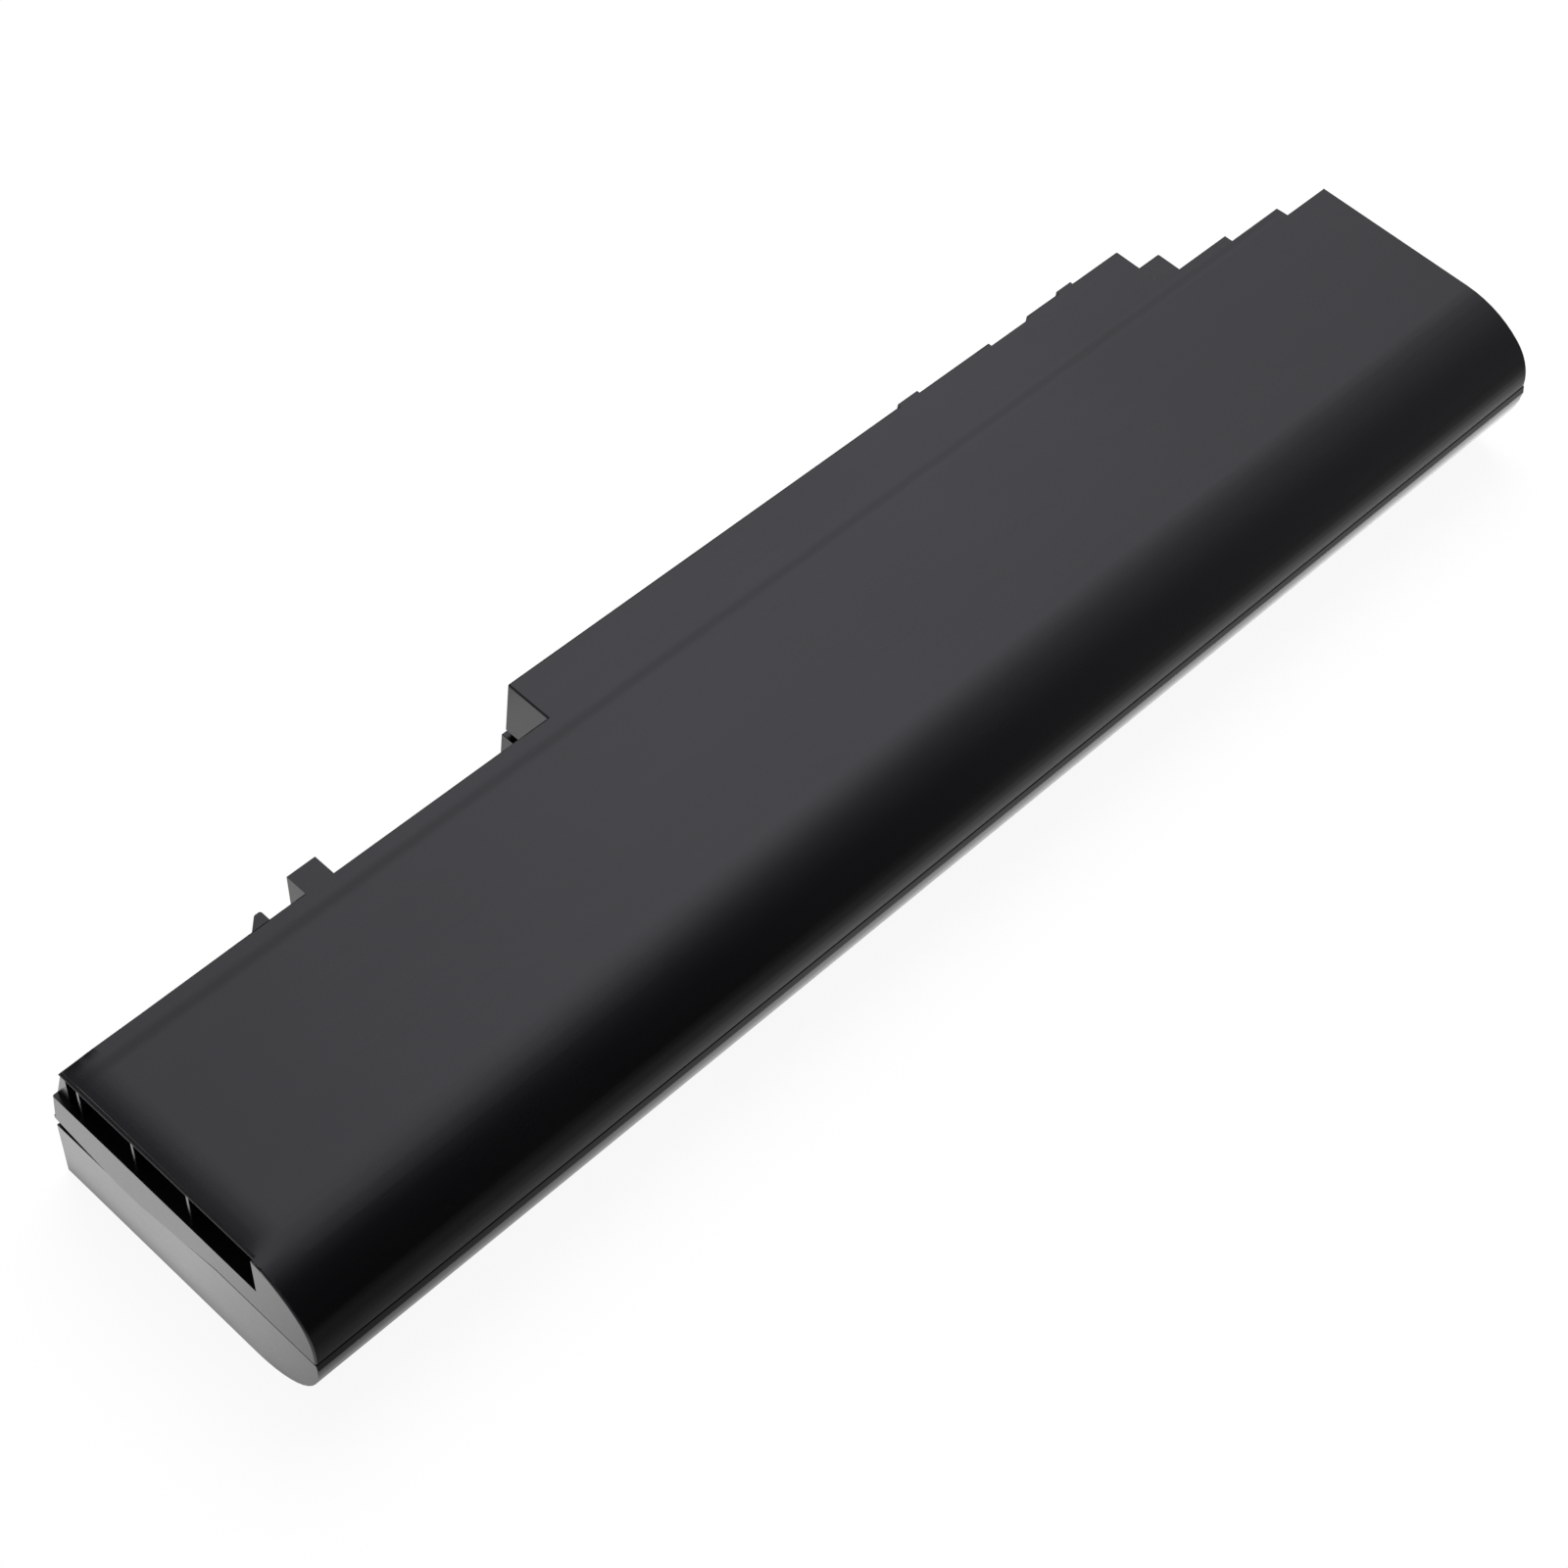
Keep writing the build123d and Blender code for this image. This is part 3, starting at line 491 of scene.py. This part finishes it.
def ease_roof(work, look):
    """Cut the roof and its rolled edge into narrow strips and set their corners on smooth curves.

    Seen along X, the crown arc of the roll leaves the roof level and the nose arc ends upright, and
    they meet on the line through their centres. The crown's radius follows from the width and
    height of the roll and the radius of the nose. The crease becomes an eased step. Towards the
    channel the roof sinks with the square of the way gone, and the roll doesn't. Only faces that
    lie on the solid's roof or roll are cut, so the rounding of the ledge stays as it is.
    """
    (left, front, _), (_, _, top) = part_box("upper_shell")
    width, height, nose = look.roll_width, look.roll_height, look.roll_nose
    crown = ((width - nose) ** 2 + height**2 - nose**2) / (2 * (height - nose))
    meet = math.atan2(width - nose, crown - height)
    crown_centre = Vector((0, front + width, top - crown))
    nose_centre = Vector((0, front + nose, top - height))

    def on_arc(corner):
        turn = math.atan2(crown_centre.y - corner.y, corner.z - crown_centre.z)
        centre, radius = (crown_centre, crown) if turn < meet else (nose_centre, nose)
        spoke = Vector((0, corner.y - centre.y, corner.z - centre.z))
        return Vector((corner.x, *(centre + spoke * (radius / spoke.length))[1:]))

    def on_roof(corner, run, curve):
        share = (corner.y - look.crease) / run + 0.5
        return Vector((corner.x, corner.y, top - look.band_drop * curve(share)))

    def in_roll(corner):
        return corner.y < crown_centre.y and corner.z > nose_centre.z - HAIR

    def lies_on(corner):
        near = on_arc(corner) if in_roll(corner) else on_roof(corner, look.crease_run, straight)
        return (near - corner).length < NEAR

    cuts = []
    for centre, turns in (
        (crown_centre, np.linspace(0, meet, CROWN_CUTS)),
        (nose_centre, np.linspace(meet, math.pi / 2, NOSE_CUTS)[1:-1]),
    ):
        cuts += [(centre, (0, math.cos(turn), math.sin(turn))) for turn in turns]
    for share in np.linspace(-0.5, 0.5, CREASE_CUTS):
        cuts.append(((0, look.crease + share * look.crease_soft, 0), (0, 1, 0)))
    for share in np.linspace(0.1, 1, SAG_CUTS):
        cuts.append(((left + share * look.sag_reach, 0, 0), (1, 0, 0)))
    faces = [face for face in work.faces if all(lies_on(corner.co) for corner in face.verts)]
    geometry = list({part for face in faces for part in (face, *face.edges, *face.verts)})
    for point, normal in cuts:
        geometry = bmesh.ops.bisect_plane(
            work, geom=geometry, dist=HAIR, plane_co=point, plane_no=normal
        )["geom"]
    for part in geometry:
        if isinstance(part, bmesh.types.BMVert):
            place = part.co
            part.co = on_arc(place) if in_roll(place) else on_roof(place, look.crease_soft, eased)
    for corner in work.verts:
        place = corner.co
        if place.z > top - ROOF_DEPTH and place.x < left + look.sag_reach:
            gone = (left + look.sag_reach - place.x) / look.sag_reach
            place.z -= look.sag * gone**2 * eased((place.y - crown_centre.y) / SAG_FADE + 1)


def ease_nose(work, look):
    """Draw the foot of the chamfer under the seam down, so that the nose leans in to the seam."""
    (_, front, _), (_, _, parting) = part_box("lower_shell")
    for corner in work.verts:
        if corner.co.y < front + NEAR and corner.co.z > parting - CHAMFER_DEPTH:
            corner.co.z = parting - look.ease


def round_edges(piece, width):
    """Round a piece's sharp edges and keep its flats flat in the shading."""
    piece.data.set_sharp_from_angle(angle=SHARP_TURN)
    bevel = piece.modifiers.new("rounded edges", "BEVEL")
    bevel.width = width
    bevel.segments = 2
    bevel.limit_method = "ANGLE"
    bevel.angle_limit = SHARP_TURN
    bevel.harden_normals = True
    bevel.use_clamp_overlap = True
    weighted = piece.modifiers.new("flat shading of flats", "WEIGHTED_NORMAL")
    weighted.keep_sharp = True


class BATTERY_OT_shells(bpy.types.Operator):
    """Dress the shells with eased curves, rounded edges and satin plastic"""

    bl_idname = "battery.dress_shells"
    bl_label = "Dress shells"

    def execute(self, context):
        look = context.scene.battery_shells
        satin = moulded_satin(look)
        for node, name in (("upper_shell", "upper_housing"), ("lower_shell", "lower_housing")):
            work = welded_copy(node)
            if node == "upper_shell":
                ease_roof(work, look)
            else:
                ease_nose(work, look)
            mesh = bpy.data.meshes.new(name)
            work.to_mesh(mesh)
            work.free()
            round_edges(add_piece(name, mesh, satin, "shell_plastic", node), look.edge)
        return {"FINISHED"}


class BATTERY_OT_connector(bpy.types.Operator):
    """Finish the connector's plastic and its leaves"""

    bl_idname = "battery.finish_connector"
    bl_label = "Finish connector"

    def execute(self, context):
        look = context.scene.battery_connector
        paint(["connector_housing"], moulded_nylon(look))
        # Bronze leaves with a gold flash: warm mirrors with lines along their length
        paint(
            ["connector_contacts"],
            drawn_metal("gold_flashed_bronze", look.plating, (0.18, 0.3), look.lines, (1, 0.1, 1)),
        )
        return {"FINISHED"}


class BATTERY_OT_cells(bpy.types.Operator):
    """Finish the cells, their sleeves and their fibre rings"""

    bl_idname = "battery.finish_cells"
    bl_label = "Finish cells"

    def execute(self, context):
        look = context.scene.battery_inner
        # Deep-drawn steel with bright nickel: soft mirrors, with die lines along each can
        paint(
            CELLS,
            drawn_metal("nickel_plated_steel", look.steel, (0.25, 0.4), 0.4 * MM, (0.05, 1, 1)),
        )
        # Film shrunk by hot air: glossy, with broad shallow waves
        paint(
            ["cell_sleeves"],
            coloured_coat("shrunk_pvc_film", look.sleeve, (0.22, 0.34), 4 * MM, 1.54, 0.04 * MM),
        )
        # Pressed fibre: matt, with matted threads
        paint(
            ["fibre_rings", "insulating_paper"],
            coloured_coat("pressed_fibre_board", look.fibre, (0.75, 0.9), 0.6 * MM, 1.5, 0.03 * MM),
        )
        return {"FINISHED"}


class BATTERY_OT_wiring(bpy.types.Operator):
    """Finish the links, leads, fuse and cut-out"""

    bl_idname = "battery.finish_wiring"
    bl_label = "Finish wiring"

    def execute(self, context):
        look = context.scene.battery_inner
        # Cold-rolled strip: a dull warm mirror with rolling lines across the bar
        paint(
            LINKS,
            drawn_metal("rolled_nickel_strip", look.nickel, (0.28, 0.42), 0.5 * MM, (1, 0.06, 1)),
        )
        # Soft PVC drawn over wire: a low sheen with slight ripples
        for node, name, colour in (
            ("left_lead", "extruded_black_pvc", look.black_lead),
            ("right_lead", "extruded_red_pvc", look.red_lead),
        ):
            paint([node], coloured_coat(name, colour, (0.4, 0.5), 0.8 * MM, 1.53, 0.02 * MM))
        # Dipped and baked resin: smooth, a little wavy
        paint(
            ["thermal_fuse", "overcharge_cutout"],
            coloured_coat(
                "dipped_fuse_coating", look.coating, (0.3, 0.45), 1.5 * MM, 1.5, 0.03 * MM
            ),
        )
        return {"FINISHED"}


class BATTERY_OT_padding(bpy.types.Operator):
    """Finish the foam end pads"""

    bl_idname = "battery.finish_padding"
    bl_label = "Finish padding"

    def execute(self, context):
        look = context.scene.battery_inner
        # Closed cells cut open at the skin: dead matt and pitted
        paint(
            ["left_pad", "right_pad"],
            coloured_coat("closed_cell_foam", look.foam, (0.85, 0.95), 0.5 * MM, 1.5, 0.15 * MM),
        )
        return {"FINISHED"}


class BATTERY_OT_board(bpy.types.Operator):
    """Finish the circuit board and what it carries"""

    bl_idname = "battery.finish_board"
    bl_label = "Finish board"

    def execute(self, context):
        look = context.scene.battery_inner
        paint(["circuit_board"], masked_laminate(look))
        # Transfer-moulded epoxy full of silica: dark and finely matt
        paint(
            CHIPS,
            coloured_coat("moulded_chip_epoxy", look.epoxy, (0.5, 0.65), 0.2 * MM, 1.55, 0.01 * MM),
        )
        # Matt tin on copper: a pale soft mirror
        paint(
            ["chip_leads"],
            drawn_metal("tin_plated_copper", look.tin, (0.3, 0.45), 0.3 * MM, (1, 1, 0.2)),
        )
        # Fired ceramic: a fine biscuit grain
        paint(
            ["chip_capacitors"],
            coloured_coat("fired_ceramic", look.ceramic, (0.4, 0.55), 0.3 * MM, 1.6, 0.01 * MM),
        )
        # Dipped epoxy bead: smooth and glossy
        paint(
            ["temperature_sensor"],
            coloured_coat("dipped_epoxy_bead", look.bead, (0.25, 0.4), 0.8 * MM, 1.55, 0.02 * MM),
        )
        return {"FINISHED"}


def paper_floor(look):
    """White paper over a matt share that keeps the shadow, with painted light and painted shade
    that only reflections see.

    In reflections the glow is painted and depends on the place; it stands in for lamp light and the
    bar's shade on the paper. Before the rolled edge it is painted shade, dimmest at the left end
    and far in front. A narrow strip at the foot of that edge has painted light, brighter to the
    right. Beside the channel end the painted light grows from front to back, and behind the bar it
    dies away.
    """
    made, tree = new_material("white_paper_with_painted_glow")
    made.cycles.emission_sampling = "NONE"
    (left, front, _), (right, back, _) = CAD_BOX
    where = add_node(tree, "ShaderNodeTexCoord").outputs["Object"]
    place = add_node(tree, "ShaderNodeSeparateXYZ", {"Vector": where}).outputs
    # Painted shade before the rolled edge, dimmer to the left and far in front
    shade_level = add_node(
        tree,
        "ShaderNodeMapRange",
        {
            "Value": place["X"],
            "From Min": left,
            "From Max": MIDDLE,
            "To Min": PAINTED_SHADE_GLOW[0],
            "To Max": PAINTED_SHADE_GLOW[1],
        },
    ).outputs[0]
    fading = add_node(
        tree,
        "ShaderNodeMapRange",
        {
            "Value": place["Y"],
            "From Min": front - 34 * MM,
            "From Max": front - 7 * MM,
            "To Min": PAINTED_OUTER_SHADE,
        },
        interpolation_type="SMOOTHSTEP",
    ).outputs[0]
    shade = add_node(
        tree, "ShaderNodeMath", {0: shade_level, 1: fading}, operation="MULTIPLY"
    ).outputs[0]
    # Painted light in a strip at the foot of the rolled edge
    foot_level = add_node(
        tree,
        "ShaderNodeMapRange",
        {
            "Value": place["X"],
            "From Min": left,
            "From Max": right,
            "To Min": PAINTED_FOOT_GLOW[0],
            "To Max": PAINTED_FOOT_GLOW[1],
        },
    ).outputs[0]
    at_foot = add_node(
        tree,
        "ShaderNodeMapRange",
        {"Value": place["Y"], "From Min": front - 4 * MM, "From Max": front - 1 * MM},
        interpolation_type="SMOOTHSTEP",
    ).outputs[0]
    front_glow = add_node(
        tree, "ShaderNodeMix", {0: at_foot, 2: shade, 3: foot_level}, data_type="FLOAT"
    ).outputs[0]
    # Painted shade behind the bar
    behind = add_node(
        tree,
        "ShaderNodeMapRange",
        {"Value": place["Y"], "From Min": front + 5 * MM, "From Max": front + 10 * MM},
    ).outputs[0]
    back_glow = add_node(
        tree,
        "ShaderNodeMapRange",
        {
            "Value": place["Y"],
            "From Min": back + 8 * MM,
            "From Max": back + 18 * MM,
            "To Min": look.paper,
            "To Max": PAINTED_BACK_GLOW,
        },
        interpolation_type="SMOOTHSTEP",
    ).outputs[0]
    side_glow = add_node(
        tree, "ShaderNodeMix", {0: behind, 2: front_glow, 3: back_glow}, data_type="FLOAT"
    ).outputs[0]
    # Painted light beside the channel end
    end_glow = add_node(
        tree,
        "ShaderNodeMapRange",
        {
            "Value": place["Y"],
            "From Min": -20 * MM,
            "From Max": 0,
            "To Min": PAINTED_END_GLOW[0],
            "To Max": PAINTED_END_GLOW[1],
        },
    ).outputs[0]
    beside_end = add_node(
        tree,
        "ShaderNodeMapRange",
        {"Value": place["X"], "From Min": left + 1 * MM, "From Max": left - 0.5 * MM},
        interpolation_type="SMOOTHSTEP",
    ).outputs[0]
    mirrored = add_node(
        tree, "ShaderNodeMix", {0: beside_end, 2: side_glow, 3: end_glow}, data_type="FLOAT"
    ).outputs[0]
    # Glossy rays see the painted glow; camera and transmission rays see the even paper
    rays = add_node(tree, "ShaderNodeLightPath").outputs
    shown = add_node(
        tree,
        "ShaderNodeMath",
        {0: rays["Is Camera Ray"], 1: rays["Is Transmission Ray"]},
        operation="MAXIMUM",
    ).outputs[0]
    plain = add_node(
        tree, "ShaderNodeMath", {0: shown, 1: look.paper}, operation="MULTIPLY"
    ).outputs[0]
    strength = add_node(
        tree, "ShaderNodeMix", {0: rays["Is Glossy Ray"], 2: plain, 3: mirrored}, data_type="FLOAT"
    ).outputs[0]
    glow = add_node(tree, "ShaderNodeEmission", {"Strength": strength})
    matt = add_node(tree, "ShaderNodeBsdfDiffuse", {"Color": linear("#4f4f4f")})
    both = add_node(tree, "ShaderNodeAddShader", {0: glow.outputs[0], 1: matt.outputs[0]})
    add_node(tree, "ShaderNodeOutputMaterial", {"Surface": both.outputs[0]})

    reach = 3.0
    mesh = bpy.data.meshes.new("floor")
    corners = [(-reach, -reach, 0), (reach, -reach, 0), (reach, reach, 0), (-reach, reach, 0)]
    mesh.from_pydata(corners, [], [(0, 1, 2, 3)])
    mesh.materials.append(made)
    floor = bpy.data.objects.new("floor", mesh)
    bpy.context.scene.collection.objects.link(floor)


def studio_world(look):
    """White to the camera, even on matt surfaces, and a softbox and a tent in reflections.

    A direction is read as its lean, which is its rise along Y over its rise along Z, and its reach
    along X. The softbox hangs behind the bar and ends at the left. Its front edge runs slantwise,
    grows softer along X and spills forwards on the right. Its back edge is soft too, and ends
    sooner on the right. The tent's walls are dim all round, apart from a black gap about one reach
    along X, which the left end of the rolled edge mirrors.
    """
    least_rise = 0.02
    starts_slope, starts_level = 1.2, -0.76
    ends_slope, ends_level = 3.2, -1.04
    full_lean = 0.6
    gap = 0.3
    world = bpy.data.worlds.new("studio")
    world.use_nodes = True
    world.cycles.sampling_method = "NONE"
    tree = world.node_tree
    tree.nodes.clear()
    way = add_node(tree, "ShaderNodeTexCoord").outputs["Generated"]
    axes = add_node(tree, "ShaderNodeSeparateXYZ", {"Vector": way}).outputs
    rise = add_node(
        tree, "ShaderNodeMath", {0: axes["Z"], 1: least_rise}, operation="MAXIMUM"
    ).outputs[0]
    lean = add_node(tree, "ShaderNodeMath", {0: axes["Y"], 1: rise}, operation="DIVIDE").outputs[0]
    edge_starts = add_node(
        tree,
        "ShaderNodeMath",
        {0: axes["X"], 1: starts_slope, 2: starts_level},
        operation="MULTIPLY_ADD",
    ).outputs[0]
    edge_ends = add_node(
        tree,
        "ShaderNodeMath",
        {0: axes["X"], 1: ends_slope, 2: ends_level},
        operation="MULTIPLY_ADD",
    ).outputs[0]
    front_edge = add_node(
        tree,
        "ShaderNodeMapRange",
        {"Value": lean, "From Min": edge_starts, "From Max": edge_ends, "To Max": look.softbox},
        interpolation_type="SMOOTHSTEP",
    ).outputs[0]
    spill_level = add_node(
        tree,
        "ShaderNodeMapRange",
        {"Value": axes["X"], "From Min": 0.33, "From Max": 0.5, "To Max": look.spill},
    ).outputs[0]
    spill = add_node(
        tree,
        "ShaderNodeMapRange",
        {"Value": lean, "From Min": -0.9, "From Max": 0.3, "To Max": spill_level},
        interpolation_type="SMOOTHSTEP",
    ).outputs[0]
    above = add_node(tree, "ShaderNodeMath", {0: front_edge, 1: spill}, operation="ADD").outputs[0]
    back_ends = add_node(
        tree,
        "ShaderNodeMapRange",
        {"Value": axes["X"], "From Min": 0.45, "From Max": 0.66, "To Min": 1.45, "To Max": 1.15},
    ).outputs[0]
    back_edge = add_node(
        tree,
        "ShaderNodeMapRange",
        {"Value": lean, "From Min": back_ends, "From Max": full_lean},
        interpolation_type="SMOOTHSTEP",
    ).outputs[0]
    left_edge = add_node(
        tree,
        "ShaderNodeMapRange",
        {"Value": axes["X"], "From Max": 0.3},
        interpolation_type="SMOOTHSTEP",
    ).outputs[0]
    box = add_node(
        tree, "ShaderNodeMath", {0: above, 1: back_edge}, operation="MULTIPLY"
    ).outputs[0]
    away = add_node(tree, "ShaderNodeMath", {0: axes["X"], 1: gap}, operation="SUBTRACT").outputs[0]
    apart = add_node(tree, "ShaderNodeMath", {0: away}, operation="ABSOLUTE").outputs[0]
    walls = add_node(
        tree,
        "ShaderNodeMapRange",
        {"Value": apart, "From Min": 0.1, "From Max": 0.4, "To Max": look.tent},
        interpolation_type="SMOOTHSTEP",
    ).outputs[0]
    mirrored = add_node(
        tree, "ShaderNodeMath", {0: box, 1: left_edge, 2: walls}, operation="MULTIPLY_ADD"
    ).outputs[0]
    rays = add_node(tree, "ShaderNodeLightPath").outputs
    shown = add_node(
        tree,
        "ShaderNodeMath",
        {0: rays["Is Camera Ray"], 1: rays["Is Transmission Ray"]},
        operation="MAXIMUM",
    ).outputs[0]
    plain = add_node(
        tree, "ShaderNodeMapRange", {"Value": shown, "To Min": look.ambient}
    ).outputs[0]
    strength = add_node(
        tree, "ShaderNodeMix", {0: rays["Is Glossy Ray"], 2: plain, 3: mirrored}, data_type="FLOAT"
    ).outputs[0]
    tint = add_node(
        tree,
        "ShaderNodeMix",
        {0: rays["Is Glossy Ray"], 6: linear("#ffffff"), 7: look.cast},
        data_type="RGBA",
    ).outputs[2]
    sky = add_node(tree, "ShaderNodeBackground", {"Color": tint, "Strength": strength})
    add_node(tree, "ShaderNodeOutputWorld", {"Surface": sky.outputs[0]})
    bpy.context.scene.world = world


def overhead_lamp(look):
    """A large lamp above and behind, for matt surfaces. Gloss mirrors the world instead."""
    place = Vector((0.25, 0.35, 0.8))
    light = bpy.data.lights.new("overhead_lamp", "AREA")
    light.size = 0.7
    light.energy = look.key
    lamp = bpy.data.objects.new("overhead_lamp", light)
    lamp.location = place
    lamp.rotation_euler = (-place).to_track_quat("-Z", "Y").to_euler()
    lamp.visible_glossy = False
    bpy.context.scene.collection.objects.link(lamp)


def photo_camera(look):
    """A camera that looks along a heading and dip, turned about its line of sight by a roll."""
    aside, dip = look.heading, look.dip
    ahead = Vector(
        (math.cos(dip) * math.sin(aside), math.cos(dip) * math.cos(aside), -math.sin(dip))
    )
    level = Vector((math.cos(aside), -math.sin(aside), 0))
    upright = level.cross(ahead)
    right = level * math.cos(look.roll) + upright * math.sin(look.roll)
    up = right.cross(ahead)
    lens = bpy.data.cameras.new("photo_camera")
    lens.lens = look.lens
    lens.sensor_width = 36
    lens.clip_start = 0.01
    camera = bpy.data.objects.new("photo_camera", lens)
    turned = Matrix((right, up, -ahead)).transposed().to_4x4()
    camera.matrix_world = Matrix.Translation(look.place) @ turned
    bpy.context.scene.collection.objects.link(camera)
    bpy.context.scene.camera = camera


class BATTERY_OT_stage(bpy.types.Operator):
    """Set the floor, the world, the lamp and the camera"""

    bl_idname = "battery.set_stage"
    bl_label = "Set stage"

    def execute(self, context):
        look = context.scene.battery_stage
        context.scene.view_settings.view_transform = "Standard"
        paper_floor(look)
        studio_world(look)
        overhead_lamp(look)
        photo_camera(look)
        return {"FINISHED"}


class BATTERY_PT_panel(bpy.types.Panel):
    """Sizes, colours and steps of the battery"""

    bl_label = "Battery"
    bl_space_type = "VIEW_3D"
    bl_region_type = "UI"
    bl_category = "Battery"

    def draw(self, context):
        for step in STEPS:
            self.layout.operator(step.bl_idname)
        for name in GROUPS:
            group = getattr(context.scene, name)
            for key in group.__annotations__:
                self.layout.prop(group, key)


STEPS = (
    BATTERY_OT_shells,
    BATTERY_OT_connector,
    BATTERY_OT_cells,
    BATTERY_OT_wiring,
    BATTERY_OT_padding,
    BATTERY_OT_board,
    BATTERY_OT_stage,
)
GROUPS = {
    "battery_shells": ShellLook,
    "battery_connector": ConnectorLook,
    "battery_inner": InnerLook,
    "battery_stage": StageLook,
}


def register():
    """Register the groups, steps and panel."""
    for name, group in GROUPS.items():
        bpy.utils.register_class(group)
        setattr(bpy.types.Scene, name, PointerProperty(type=group))
    for kind in (*STEPS, BATTERY_PT_panel):
        bpy.utils.register_class(kind)


def unregister():
    """Take out what register put in."""
    for kind in (BATTERY_PT_panel, *reversed(STEPS)):
        bpy.utils.unregister_class(kind)
    for name, group in reversed(GROUPS.items()):
        delattr(bpy.types.Scene, name)
        bpy.utils.unregister_class(group)


def main():
    """Run every step in order."""
    register()
    for step in STEPS:
        family, name = step.bl_idname.split(".")
        getattr(getattr(bpy.ops, family), name)()


if __name__ == "__main__":
    main()
